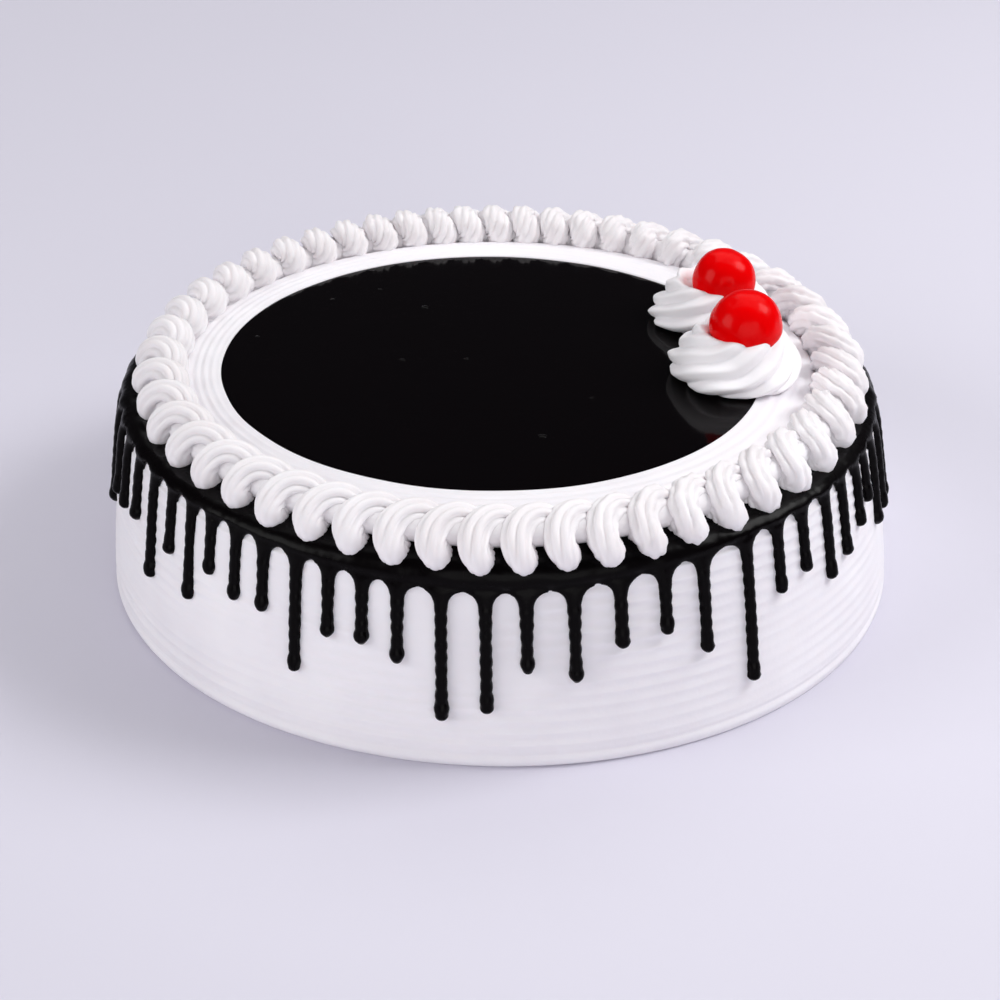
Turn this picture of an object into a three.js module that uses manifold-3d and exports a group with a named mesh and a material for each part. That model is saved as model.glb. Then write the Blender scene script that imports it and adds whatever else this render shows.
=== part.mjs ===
// Black forest cake: a round cake coated in combed cream, with a glossy chocolate top, chocolate running
// down from the rim, a piped rope border and two piped rosettes that each hold a glace cherry.
// Millimetres, +Z up, origin at the middle of the underside. The front of the cake faces -Y.
// Angles run counter-clockwise from the front, seen from above, so 90 degrees is +X.

import * as THREE from "three";
import { mergeVertices } from "three/addons/utils/BufferGeometryUtils.js";
import Module from "manifold-3d";

const wasm = await Module();
wasm.setup();

// Clearance between neighbouring pieces
const GAP = 0.3;

// Cream-coated wall, which leans in towards the top and is combed into rings
const FOOT_RADIUS = 105;
const UNDERSIDE_RADIUS = 103.4;
const LIP_HEIGHT = 2.6;
const WALL_LEAN = 5.5;
const WALL_HEIGHT = 52;
const LEAN_CURVE = 1.4;
const COMB_RINGS = 11;
const COMB_DEPTH = 0.45;
const WALL_SEGMENTS = 40;

// Rounded rim, and the shelf that slopes up from it under the rope border
const RIM_HEIGHT = 49.2;
const RIM_ROUND = 4.3;
const RIM_STEPS = 3;
const SHELF_RADIUS = 84;
const SHELF_HEIGHT = 57.6;

// Smooth collar between the border and the chocolate, with faint rings from the palette knife
const COLLAR_HEIGHT = 59;
const COLLAR_RING_DEPTH = 0.3;
const COLLAR_RING_WIDTH = 1.2;
const COLLAR_RINGS = [82.6, 77];

// Poured chocolate top, which lies a little left of the middle
const GLAZE_RADIUS = 71;
const GLAZE_SHIFT = -2.3;
const GLAZE_HEIGHT = 58.5;
const GLAZE_THICKNESS = 1.2;
const GLAZE_EDGE_ROUND = 0.4;
const GLAZE_SEGMENTS = 44;

// Chocolate band over the rim, whose lower edge sags at the front
const BAND_GAP = 0.6;
const BAND_THICKNESS = 1.1;
const BAND_INNER_RADIUS = 86;
const BAND_LOWER_EDGE = 52;
const BAND_FRONT_DROP = 5.6;

// Drips, each with a flare at its top, a thin root inside the band and a rounded end
const DRIP_GAP = 0.45;
const DRIP_THICKNESS = 1.7;
const DRIP_WIDTH = 3.5;
const DRIP_END_WIDTH = 4;
const ROOT_LENGTH = 0.8;
const ROOT_THICKNESS = 0.6;
const ROOT_LIFT = 0.35;
const ROOT_TAPER = 0.6;

// Outline of a drip's flare, as [half width, height over the band's lower edge]
const FLARE_OUTLINE = [[3.5, ROOT_LENGTH], [3.2, -0.5], [2.17, -2.5], [DRIP_WIDTH / 2, -5]];

// Drips in sight from the front, as [angle in degrees, height of the tip]
const FRONT_DRIPS = [
  [-76.5, 31], [-71, 32], [-65, 34], [-59, 23], [-53.5, 34], [-48.5, 25.5], [-44, 35.5],
  [-39, 32], [-34, 32], [-28.5, 19], [-23.5, 30.5], [-18.5, 30.5], [-13.5, 27], [-7.5, 13],
  [-1.5, 15.5], [4, 26], [10.5, 23], [17, 30.5], [23.5, 32], [29.5, 24.5], [37, 12.5],
  [43, 32.5], [48.5, 34.5], [54.5, 28], [59.5, 30.5], [65, 34], [69, 37.5], [74, 26.5],
];

// The drips round the back take the same lengths in another order, a little unevenly spaced
const BACK_DRIP_COUNT = 30;
const BACK_DRIP_FIRST = 80;
const BACK_DRIP_LAST = 278;
const BACK_DRIP_ORDER = 11;
const BACK_DRIP_START = 5;
const BACK_DRIP_WANDER = 0.7;

// Rope border: a cord of cream piped in coils, closer together at the front and back than at the sides
const ROPE_COILS = 50;
const ROPE_STEPS_PER_COIL = 4;
const ROPE_RADIUS = 90;
const ROPE_HEIGHT = 60;
const ROPE_GAP = 0.8;
const ROPE_HALF_WIDTH = 7;
const ROPE_HALF_HEIGHT = 6.2;
const COIL_RELIEF = 1.1;
const COIL_ROUNDNESS = 0.8;
const COIL_SPREAD_ONCE = 0.035;
const COIL_SPREAD_TWICE = 0.103;
const COIL_LEAN = 0.028;
const ROPE_SECTION = [0, 36, 72, 108, 145, 182, 255, 300, 322, 342];

// At the front the border is piped further out, so its coils hang lower over the rim
const FRONT_SPREAD = 32;
const FRONT_OVERHANG = 5;
const FRONT_DROOP = 6.5;

// Rosettes: a star-shaped swirl of cream under each cherry
const ROSETTE_RIDGES = 8;
const ROSETTE_STEPS_PER_RIDGE = 3;
const ROSETTE_TWIST = 1.9;
const ROSETTE_RIDGE_DEPTH = 0.085;
const ROSETTE_PROFILE = [
  [0.0, 0], [0.8, 0], [0.95, 0.08], [1.0, 0.22], [0.97, 0.38], [0.89, 0.55], [0.81, 0.72],
  [0.75, 0.88], [0.68, 1.0], [0.0, 1.0],
];
const ROSETTES = [
  { name: "front", x: 62.7, y: -5, radius: 16.6, height: 12.6 },
  { name: "back", x: 58.3, y: 30.2, radius: 15.8, height: 11.2 },
];

// Glace cherries, pressed into the rosettes almost to their widest line
const CHERRIES = [
  { name: "front", x: 64.6, y: -6, z: 73.3, radius: 9.8, lean: 0.5 },
  { name: "back", x: 61.2, y: 28, z: 71.3, radius: 8.8, lean: -0.7 },
];
const CHERRY_SIDES = 16;
const CHERRY_ROWS = 10;
const CHERRY_DIMPLE_DEPTH = 0.8;
const CHERRY_DIMPLE_WIDTH = 0.5;
const CHERRY_DIMPLE_TILT = 0.35;

const CREAM = { color: 0xf4f1f4, roughness: 0.55, metalness: 0 };
const CHOCOLATE = { color: 0x0c0809, roughness: 0.12, metalness: 0 };
const CHERRY_RED = { color: 0xc40812, roughness: 0.12, metalness: 0 };

const FULL_TURN = 2 * Math.PI;
const DEGREE = Math.PI / 180;

// Rounds to the thousandth of a millimetre, so that the two sides of a seam meet exactly
function tidy(value) {
  return Math.round(value * 1000) / 1000;
}

// The point at a radius, an angle from the front in radians and a height
function placed(radius, angle, height) {
  return [tidy(radius * Math.sin(angle)), tidy(-radius * Math.cos(angle)), tidy(height)];
}

// One at the front, falling to nothing at the sides and the back
function frontShare(angle) {
  const fromFront = Math.atan2(Math.sin(angle), Math.cos(angle)) / (FRONT_SPREAD * DEGREE);
  return Math.exp(-fromFront * fromFront);
}

// Radius of the cream wall, without the comb's rings
function wallRadius(height) {
  const rise = Math.max(0, (height - LIP_HEIGHT) / (WALL_HEIGHT - LIP_HEIGHT));
  return FOOT_RADIUS - WALL_LEAN * rise ** LEAN_CURVE;
}

const RIM_RADIUS = wallRadius(RIM_HEIGHT) - RIM_ROUND;

// Radius of the coated cake at a height, the rounded rim included
function coatedRadius(height) {
  const overRim = height - RIM_HEIGHT;
  if (overRim <= 0) {
    return wallRadius(height);
  }
  return RIM_RADIUS + Math.sqrt(RIM_ROUND ** 2 - overRim ** 2);
}

// Height of the sloping shelf at a radius
function shelfHeight(radius) {
  const share = (RIM_RADIUS - radius) / (RIM_RADIUS - SHELF_RADIUS);
  const edge = RIM_HEIGHT + RIM_ROUND;
  return edge + (SHELF_HEIGHT - edge) * Math.min(share, 1);
}

// The rim from its lowest point on the wall to a radius on the shelf, moved outwards by an offset
function rimProfile(offset, innerRadius, lowestHeight) {
  const reach = RIM_ROUND + offset;
  const onWall = lowestHeight <= RIM_HEIGHT;
  const start = onWall ? 0 : Math.asin((lowestHeight - RIM_HEIGHT) / reach);
  const lowestRadius = onWall ? wallRadius(lowestHeight) + offset : RIM_RADIUS + reach * Math.cos(start);
  const points = [[lowestRadius, lowestHeight]];
  for (let step = 1; step <= RIM_STEPS; step += 1) {
    const share = onWall ? (step - 1) / (RIM_STEPS - 1) : step / RIM_STEPS;
    const turn = start + (Math.PI / 2 - start) * share;
    points.push([RIM_RADIUS + reach * Math.cos(turn), RIM_HEIGHT + reach * Math.sin(turn)]);
  }
  points.push([innerRadius, shelfHeight(innerRadius) + offset]);
  return points;
}

// Merges what lies together and drops the faces that a pole folds flat
function closedGeometry(geometry) {
  geometry.deleteAttribute("normal");
  geometry.deleteAttribute("uv");
  const merged = mergeVertices(geometry, 1e-4);
  const corners = merged.index.array;
  const kept = [];
  for (let face = 0; face < corners.length; face += 3) {
    const [a, b, c] = corners.slice(face, face + 3);
    if (a !== b && b !== c && c !== a) {
      kept.push(a, b, c);
    }
  }
  merged.setIndex(kept);
  return merged;
}

function solidOf(geometry) {
  const closed = closedGeometry(geometry);
  return new wasm.Manifold(
    new wasm.Mesh({
      numProp: 3,
      vertProperties: new Float32Array(closed.attributes.position.array),
      triVerts: new Uint32Array(closed.index.array),
    }),
  );
}

function geometryOf(solid) {
  const mesh = solid.getMesh();
  const geometry = new THREE.BufferGeometry();
  geometry.setAttribute("position", new THREE.BufferAttribute(mesh.vertProperties, 3));
  geometry.setIndex(new THREE.BufferAttribute(mesh.triVerts, 1));
  geometry.computeVertexNormals();
  return geometry;
}

// Moves every vertex to where a function puts it
function reshape(geometry, place) {
  const position = geometry.attributes.position;
  for (let index = 0; index < position.count; index += 1) {
    const moved = place(position.getX(index), position.getY(index), position.getZ(index), index);
    position.setXYZ(index, ...moved);
  }
  return geometry;
}

// A turned shape that stands on Z, from [radius, height] pairs that start and end on the axis
// or close on themselves
function turned(profile, segments) {
  const points = profile.map(([radius, height]) => new THREE.Vector2(radius, height));
  const geometry = new THREE.LatheGeometry(points, segments);
  geometry.rotateX(Math.PI / 2);
  return reshape(geometry, (x, y, z) => [tidy(x), tidy(y), tidy(z)]);
}

// The cream wall from its foot to the rim: each ring of the comb is a groove and a crest
function wallProfile() {
  const points = [];
  const pitch = (RIM_HEIGHT - LIP_HEIGHT) / COMB_RINGS;
  for (let ring = 0; ring < COMB_RINGS; ring += 1) {
    const crest = LIP_HEIGHT + ring * pitch;
    const groove = crest + pitch / 2;
    points.push([wallRadius(crest), crest]);
    points.push([wallRadius(groove) - COMB_DEPTH, groove]);
  }
  return points;
}

function collarProfile() {
  const points = [];
  for (const radius of COLLAR_RINGS) {
    points.push([radius, COLLAR_HEIGHT]);
    points.push([radius - COLLAR_RING_WIDTH, COLLAR_HEIGHT - COLLAR_RING_DEPTH]);
  }
  return points;
}

function cakeBody() {
  const profile = [
    [0, 0],
    [UNDERSIDE_RADIUS, 0],
    [FOOT_RADIUS - 0.4, LIP_HEIGHT / 2],
    ...wallProfile(),
    ...rimProfile(0, SHELF_RADIUS, RIM_HEIGHT),
    ...collarProfile(),
    [0, COLLAR_HEIGHT - COLLAR_RING_DEPTH],
  ];
  const bed = GLAZE_HEIGHT - GLAZE_THICKNESS - GAP;
  const recess = turned(
    [[0, bed], [GLAZE_RADIUS + GAP, bed], [GLAZE_RADIUS + GAP, COLLAR_HEIGHT + 1], [0, COLLAR_HEIGHT + 1]],
    GLAZE_SEGMENTS,
  );
  recess.translate(GLAZE_SHIFT, 0, 0);
  return geometryOf(solidOf(turned(profile, WALL_SEGMENTS)).subtract(solidOf(recess)));
}

function chocolateGlaze() {
  const underside = GLAZE_HEIGHT - GLAZE_THICKNESS;
  const profile = [
    [0, underside],
    [GLAZE_RADIUS, underside],
    [GLAZE_RADIUS, GLAZE_HEIGHT - GLAZE_EDGE_ROUND],
    [GLAZE_RADIUS - GLAZE_EDGE_ROUND, GLAZE_HEIGHT],
    [0, GLAZE_HEIGHT],
  ];
  const disc = turned(profile, GLAZE_SEGMENTS);
  disc.translate(GLAZE_SHIFT, 0, 0);
  return geometryOf(solidOf(disc));
}

// All drips in order round the cake, as { angle, tip }
function allDrips() {
  const drips = FRONT_DRIPS.map(([degrees, tip]) => ({ angle: degrees * DEGREE, tip }));
  for (let count = 0; count < BACK_DRIP_COUNT; count += 1) {
    const share = count / (BACK_DRIP_COUNT - 1);
    const even = BACK_DRIP_FIRST + (BACK_DRIP_LAST - BACK_DRIP_FIRST) * share;
    const degrees = even + BACK_DRIP_WANDER * Math.sin(count * BACK_DRIP_ORDER);
    const [, tip] = FRONT_DRIPS[(count * BACK_DRIP_ORDER + BACK_DRIP_START) % FRONT_DRIPS.length];
    drips.push({ angle: degrees * DEGREE, tip });
  }
  return drips;
}

// Height of the band's lower edge, which sags towards the front
function bandEdge(angle) {
  return BAND_LOWER_EDGE - BAND_FRONT_DROP * frontShare(angle);
}

// One drip, flat at first and then bent round the wall. Its root is thin and lies inside the band.
function dripSolid(drip) {
  const edge = bandEdge(drip.angle);
  const end = DRIP_END_WIDTH / 2;
  const halfWidths = [
    ...FLARE_OUTLINE.map(([half, rise]) => [half, edge + rise]),
    [end, drip.tip + end],
  ];
  const left = halfWidths.map(([half, height]) => new THREE.Vector2(-half, height));
  const right = halfWidths.map(([half, height]) => new THREE.Vector2(half, height)).reverse();
  const shape = new THREE.Shape([...left, new THREE.Vector2(0, drip.tip), ...right]);
  const flat = new THREE.ExtrudeGeometry(shape, { depth: 1, bevelEnabled: false });
  const bent = reshape(flat, (across, height, depth) => {
    const root = Math.min(1, Math.max(0, (height - edge) / ROOT_LENGTH + ROOT_TAPER));
    const inner = DRIP_GAP + ROOT_LIFT * root;
    const thickness = DRIP_THICKNESS + (ROOT_THICKNESS - DRIP_THICKNESS) * root;
    const radius = coatedRadius(height) + inner + depth * thickness;
    return placed(radius, drip.angle + across / FOOT_RADIUS, height);
  });
  return solidOf(bent);
}

function chocolateDripBand() {
  const section = (edge) => {
    const inner = rimProfile(BAND_GAP, BAND_INNER_RADIUS, edge);
    const outer = rimProfile(BAND_GAP + BAND_THICKNESS, BAND_INNER_RADIUS, edge);
    return [...outer, ...inner.reverse(), outer[0]];
  };
  const points = section(BAND_LOWER_EDGE);
  const ring = turned(points, WALL_SEGMENTS);
  reshape(ring, (x, y, z, index) => {
    const angle = Math.atan2(x, -y);
    const [radius, height] = section(bandEdge(angle))[index % points.length];
    return placed(radius, angle, height);
  });
  return geometryOf(allDrips().reduce((band, drip) => band.add(dripSolid(drip)), solidOf(ring)));
}

// Keeps a point of the rope's section clear of the chocolate on the rim and the shelf
function clearOfRim(radius, height) {
  const lift = BAND_GAP + BAND_THICKNESS + ROPE_GAP;
  const out = radius - RIM_RADIUS;
  const up = height - RIM_HEIGHT;
  if (out <= 0) {
    return [radius, Math.max(height, shelfHeight(radius) + lift)];
  }
  const reach = Math.hypot(out, up);
  const scale = Math.max(1, (RIM_ROUND + lift) / reach);
  return [RIM_RADIUS + out * scale, RIM_HEIGHT + up * scale];
}

// The cord of cream climbs on the outside, crosses the top and goes down on the inside as it moves on,
// so the mesh is sheared by one coil for each turn round the section
function pipedRope() {
  const sides = ROPE_SECTION.length;
  const steps = ROPE_COILS * ROPE_STEPS_PER_COIL;
  const ring = new THREE.TorusGeometry(ROPE_RADIUS, ROPE_HALF_HEIGHT, sides, steps);
  reshape(ring, (x, y, z, index) => {
    const side = Math.floor(index / (steps + 1));
    const step = index % (steps + 1);
    const degrees = side === sides ? 360 : ROPE_SECTION[side];
    const out = Math.cos(degrees * DEGREE);
    const up = Math.sin(degrees * DEGREE);
    const along = ((step / ROPE_STEPS_PER_COIL + degrees / 360) / ROPE_COILS) * FULL_TURN;
    const crowded = COIL_SPREAD_ONCE * Math.sin(along) - COIL_SPREAD_TWICE * Math.sin(2 * along);
    const angle = along + crowded + COIL_LEAN * up;
    const crest = 2 * Math.abs(Math.sin((Math.PI * step) / ROPE_STEPS_PER_COIL)) ** COIL_ROUNDNESS - 1;
    const share = frontShare(angle);
    const hang = Math.max(0, out) * share;
    const radius = ROPE_RADIUS + (ROPE_HALF_WIDTH + COIL_RELIEF * crest) * out + FRONT_OVERHANG * hang;
    const height =
      ROPE_HEIGHT + (ROPE_HALF_HEIGHT + COIL_RELIEF * crest) * up - FRONT_DROOP * hang * ((1 - up) / 2);
    const [clearRadius, clearHeight] = clearOfRim(radius, height);
    return placed(clearRadius, angle, clearHeight);
  });
  return geometryOf(solidOf(ring));
}

// A ball with CHERRY_SIDES round it and CHERRY_ROWS from pole to pole, each point moved to a radius
function cherryShape(cherry, radiusAt) {
  const ball = new THREE.SphereGeometry(1, CHERRY_SIDES, CHERRY_ROWS);
  ball.rotateX(Math.PI / 2);
  reshape(ball, (x, y, z) => {
    const radius = radiusAt(new THREE.Vector3(x, y, z));
    return [tidy(cherry.x + x * radius), tidy(cherry.y + y * radius), tidy(cherry.z + z * radius)];
  });
  return solidOf(ball);
}

// The space that a cherry takes in the cream, with its clearance
function cherrySocket(cherry) {
  return cherryShape(cherry, () => cherry.radius + GAP);
}

// A cherry is almost round, with the dent where its stalk was
function cherryBall(cherry) {
  const dent = new THREE.Vector3(Math.sin(cherry.lean), CHERRY_DIMPLE_TILT, Math.cos(cherry.lean));
  dent.normalize();
  const solid = cherryShape(cherry, (direction) => {
    const near = direction.distanceTo(dent) / CHERRY_DIMPLE_WIDTH;
    return cherry.radius - CHERRY_DIMPLE_DEPTH * Math.exp(-near * near);
  });
  return geometryOf(solid);
}

// The raised collar with its clearance, where a rosette lies over it
function collarCover() {
  const top = COLLAR_HEIGHT + GAP;
  const low = SHELF_HEIGHT;
  const cover = turned([[0, low], [SHELF_RADIUS, low], [SHELF_RADIUS, top], [0, top]], WALL_SEGMENTS);
  const well = turned([[0, 0], [GLAZE_RADIUS, 0], [GLAZE_RADIUS, 2 * top], [0, 2 * top]], GLAZE_SEGMENTS);
  well.translate(GLAZE_SHIFT, 0, 0);
  return solidOf(cover).subtract(solidOf(well));
}

function rosette(place, cherry) {
  const base = GLAZE_HEIGHT + GAP;
  const columns = ROSETTE_RIDGES * ROSETTE_STEPS_PER_RIDGE;
  const swirl = turned(ROSETTE_PROFILE, columns);
  reshape(swirl, (x, y, rise) => {
    const share = Math.hypot(x, y);
    const column = Math.round((Math.atan2(y, x) / FULL_TURN) * columns);
    const crest = Math.abs(Math.sin((Math.PI * column) / ROSETTE_STEPS_PER_RIDGE)) - 0.5;
    const radius = place.radius * share * (1 + 2 * ROSETTE_RIDGE_DEPTH * crest);
    const angle = (column / columns) * FULL_TURN + ROSETTE_TWIST * rise;
    return [
      tidy(place.x + radius * Math.cos(angle)),
      tidy(place.y + radius * Math.sin(angle)),
      tidy(base + place.height * rise),
    ];
  });
  return geometryOf(solidOf(swirl).subtract(cherrySocket(cherry)).subtract(collarCover()));
}

const cake = new THREE.Group();

function addPiece(name, geometry, look) {
  const mesh = new THREE.Mesh(geometry, new THREE.MeshStandardMaterial(look));
  mesh.name = name;
  cake.add(mesh);
}

addPiece("cake_body", cakeBody(), CREAM);
addPiece("chocolate_glaze", chocolateGlaze(), CHOCOLATE);
addPiece("chocolate_drip_band", chocolateDripBand(), CHOCOLATE);
addPiece("piped_rope_border", pipedRope(), CREAM);
ROSETTES.forEach((place, index) => {
  addPiece(`rosette_${place.name}`, rosette(place, CHERRIES[index]), CREAM);
});
CHERRIES.forEach((cherry) => {
  addPiece(`cherry_${cherry.name}`, cherryBall(cherry), CHERRY_RED);
});

export default cake;
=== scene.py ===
"""Black forest cake: a round cake coated in combed cream, with a poured chocolate top, chocolate that
runs down from the rim, a piped rope border and two piped rosettes that each hold a glace cherry.

Metres, +Z up. The front of the cake faces -Y, and angles run counter-clockwise from the front.
"""

import math

import bmesh
import bpy
from bpy.props import FloatProperty, FloatVectorProperty, IntProperty, PointerProperty
from mathutils import Matrix, Vector, noise


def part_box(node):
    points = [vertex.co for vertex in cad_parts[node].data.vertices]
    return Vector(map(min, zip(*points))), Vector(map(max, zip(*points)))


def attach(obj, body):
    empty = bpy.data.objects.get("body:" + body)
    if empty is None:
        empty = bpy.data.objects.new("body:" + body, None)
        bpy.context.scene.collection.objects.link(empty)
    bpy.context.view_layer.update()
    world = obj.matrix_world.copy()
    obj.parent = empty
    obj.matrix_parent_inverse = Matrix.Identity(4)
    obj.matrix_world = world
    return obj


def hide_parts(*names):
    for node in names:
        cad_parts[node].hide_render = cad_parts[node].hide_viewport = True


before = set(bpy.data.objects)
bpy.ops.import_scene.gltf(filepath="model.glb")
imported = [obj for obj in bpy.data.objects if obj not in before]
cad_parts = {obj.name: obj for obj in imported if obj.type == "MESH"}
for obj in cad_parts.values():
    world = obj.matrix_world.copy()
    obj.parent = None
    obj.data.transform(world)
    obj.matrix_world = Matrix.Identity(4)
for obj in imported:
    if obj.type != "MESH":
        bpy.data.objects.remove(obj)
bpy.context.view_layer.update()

bl_info = {
    "name": "Black Forest Cake",
    "version": (1, 0, 0),
    "blender": (4, 5, 0),
    "location": "View3D > Sidebar > Cake",
    "description": "Makes a cream cake with a chocolate drip, a piped border, rosettes and cherries",
    "category": "Add Mesh",
}

MM = 0.001
FULL_TURN = 2 * math.pi
QUARTER_TURN = math.pi / 2

# Sizes that the solids give
_, BODY_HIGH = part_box("cake_body")
GLAZE_LOW, GLAZE_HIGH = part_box("chocolate_glaze")
FOOT_RADIUS = BODY_HIGH.x
COLLAR_HEIGHT = BODY_HIGH.z
GLAZE_HEIGHT = GLAZE_HIGH.z
GLAZE_SHIFT = (GLAZE_LOW.x + GLAZE_HIGH.x) / 2

# The poured chocolate runs a little further out than its solid, and has a rounded edge
GLAZE_SPREAD = 0.8 * MM
GLAZE_RADIUS = (GLAZE_HIGH.x - GLAZE_LOW.x) / 2 + GLAZE_SPREAD
GLAZE_EDGE = 0.35 * MM
GLAZE_BED = 0.9 * MM
GLAZE_THICKNESS = 1.1 * MM

# Wall and rim, as the body's solid has them
LIP_HEIGHT = 2.6 * MM
WALL_LEAN = 5.5 * MM
WALL_HEIGHT = 52 * MM
LEAN_CURVE = 1.4
RIM_HEIGHT = 49.2 * MM
RIM_ROUND = 4.3 * MM
SHELF_RADIUS = 84 * MM
SHELF_HEIGHT = 57.6 * MM

# How far the foot and the rim stand to the right of the middle, and the width over which that starts
FOOT_SHIFT = 0.8 * MM
RIM_SHIFT = -0.35 * MM
SHIFT_FADE = 5 * MM

# Cream on the wall: its thickness over the solid, its rounded foot and the crease above it. Here
# and below, a plain figure for a length is in millimetres
SKIN = 0.4
FOOT_ROUNDING = 1.0
FOOT_CURVE = 2.2
FOOT_TUCK = 0.9 * MM
FOOT_EDGE = 0.3 * MM
CREASE_DEPTH = 0.45
CREASE_HEIGHT = 3.6 * MM
CREASE_WIDTH = 0.6 * MM
WALL_STEP = 0.36 * MM
WALL_SWELL = 0.35 * MM

# The comb's rings: how far they drift, how sharp they are and how much of their depth is left
COMB_DRIFT = 0.12
COMB_SHARPNESS = 0.7
COMB_LEAST = 0.12
COMB_MEAN = 0.55
COMB_CHANGE = 1.1

# The smooth collar between the border and the chocolate top, with its faint rings
COLLAR_START = 83.4 * MM
COLLAR_END = GLAZE_RADIUS + GLAZE_EDGE
COLLAR_STEPS = 32
COLLAR_SINK = 0.15 * MM
COLLAR_RINGS = 4.2
COLLAR_RING_DEPTH = 0.13 * MM
COLLAR_ROLL = 0.5 * MM
COLLAR_LIP = 0.45 * MM
COLLAR_WAVE = 0.15 * MM
COLLAR_EDGE_WAVE = 0.25 * MM

# Drips in sight from the front, as (angle in degrees, height of the tip in millimetres)
FRONT_DRIPS = (
    (-76.5, 31), (-71, 32), (-65, 34), (-59, 23), (-53.5, 34), (-48.5, 25.5), (-44, 35.5),
    (-39, 32), (-34, 32), (-28.5, 19), (-23.5, 30.5), (-18.5, 30.5), (-13.5, 27), (-7.5, 13),
    (-1.5, 15.5), (4, 26), (10.5, 23), (17, 30.5), (23.5, 32), (29.5, 24.5), (37, 12.5),
    (43, 32.5), (48.5, 34.5), (54.5, 28), (59.5, 30.5), (65, 34), (69, 37.5), (74, 26.5),
)
BACK_DRIP_COUNT = 30
BACK_DRIP_FIRST = 80
BACK_DRIP_LAST = 278
BACK_DRIP_ORDER = 11
BACK_DRIP_START = 5
BACK_DRIP_WANDER = 0.7

# A drip: rows inside the band, its arch out of the band, its bulb and its round end
DRIP_ROOTS = (3.2, 2.4, 1.6, 0.8)
DRIP_ARCH = 5.4 * MM
DRIP_ARCH_SHARES = (0.0, 0.12, 0.24, 0.36, 0.48, 0.6, 0.72, 0.86, 1.0)
DRIP_END = 2.1 * MM
DRIP_STEP = 0.8 * MM
DRIP_AROUND = 20
DRIP_OVERLAP = 0.3 * MM
DRIP_BULB_HEIGHT = 2.4 * MM
DRIP_BULB_SIZE = 2.2 * MM
DRIP_BULB_SWELL = 0.2
DRIP_TAPER = 0.22
DRIP_TAPER_LENGTH = 12 * MM
DRIP_RIPPLE = 0.1
DRIP_SQUARENESS = 0.85
DRIP_LIFT = 0.35 * MM

# The band over the rim, and its bulges where a drip starts
BAND_EDGE = 52.3
BAND_SAG = 5.6
BAND_THICK = 1.35 * MM
BAND_SUNK = 1.2 * MM
BAND_INNER = 90 * MM
BAND_REACH = 3 * MM
BAND_LUMPS = 0.45 * MM
BULGE = 0.7
BULGE_LOST_IN_FRONT = 0.4
BULGE_WAVES = 14
SCALLOP_COSINE = 0.994

# How finely the band and the drips are run together
FUSE_VOXEL = 0.58 * MM
FUSE_SOFTENING = 3
FUSE_KEPT = 0.72

# Small bumps down the drips, where the comb's rings lie under the chocolate
BUMP_START = 3 * MM
BUMP_FADE = 3 * MM
BUMP_STAGGER = 0.6 * MM
BUMP_ORDER = 7
BUMP_MEAN = 0.6
BUMP_WIDTH = 0.2
BUMP_RELIEF = 0.12 * MM

# Radius at which the smooth unevenness round the cake is read
WANDER_RADIUS = 0.1

# The camera, in the photograph's frame of 1000 by 1000 pixels
PHOTO_SIZE = 1000
CAMERA_FOCAL_PIXELS = 2700
CAMERA_PITCH = math.radians(28.53)
CAMERA_ROLL = math.radians(0.5)
CAMERA_TARGET = Vector((0.39, 0, 17.2)) * MM
CAMERA_DISTANCE = 740.5 * MM
SENSOR_WIDTH = 36


def from_hex(text):
    """Turns an sRGB hex colour into linear red, green and blue."""
    shares = [int(text[start:start + 2], 16) / 255 for start in (1, 3, 5)]
    return tuple(s / 12.92 if s <= 0.04045 else ((s + 0.055) / 1.055) ** 2.4 for s in shares)


class CakeSettings(bpy.types.PropertyGroup):
    """Sizes and colours of the cake that a baker would change."""

    comb_pitch: FloatProperty(
        name="Comb pitch", description="Height of one ring left by the comb on the wall",
        default=3.25 * MM, unit="LENGTH", precision=5,
    )
    comb_depth: FloatProperty(
        name="Comb depth", description="Depth of the comb's rings where they are deepest",
        default=0.34 * MM, unit="LENGTH", precision=5,
    )
    rope_coils: IntProperty(
        name="Rope coils", description="Number of coils in the piped border",
        default=50, min=12,
    )
    rope_cord: FloatProperty(
        name="Rope cord", description="Width of the cord of cream that the border is piped with",
        default=8.2 * MM, unit="LENGTH", precision=5,
    )
    drip_width: FloatProperty(
        name="Drip width", description="Width of a drip of chocolate at half its length",
        default=3.1 * MM, unit="LENGTH", precision=5,
    )
    drip_relief: FloatProperty(
        name="Drip relief", description="How far a drip stands out from the wall",
        default=2.0 * MM, unit="LENGTH", precision=5,
    )
    cream: FloatVectorProperty(
        name="Cream", description="Colour of the whipped cream",
        default=from_hex("#FBF8FB"), subtype="COLOR", min=0, max=1,
    )
    chocolate: FloatVectorProperty(
        name="Chocolate", description="Colour of the dark chocolate",
        default=from_hex("#050304"), subtype="COLOR", min=0, max=1,
    )
    cherry: FloatVectorProperty(
        name="Cherry", description="Colour of the glace cherries",
        default=from_hex("#EE0003"), subtype="COLOR", min=0, max=1,
    )
    floor: FloatVectorProperty(
        name="Floor", description="Colour of the pale floor",
        default=from_hex("#DDDAE7"), subtype="COLOR", min=0, max=1,
    )


# Shapes shared by the pieces

def front_share(angle, spread=math.radians(32)):
    """One at the front, falling to nothing at the sides and the back."""
    from_front = math.atan2(math.sin(angle), math.cos(angle)) / spread
    return math.exp(-from_front * from_front)


def placed(radius, angle, height):
    """The point at a radius, an angle from the front and a height."""
    return Vector((radius * math.sin(angle), -radius * math.cos(angle), height))


def wall_radius(height):
    """Radius of the cream wall, without the comb's rings."""
    rise = max(0, (height - LIP_HEIGHT) / (WALL_HEIGHT - LIP_HEIGHT))
    return FOOT_RADIUS - WALL_LEAN * rise ** LEAN_CURVE


RIM_RADIUS = wall_radius(RIM_HEIGHT) - RIM_ROUND


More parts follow.
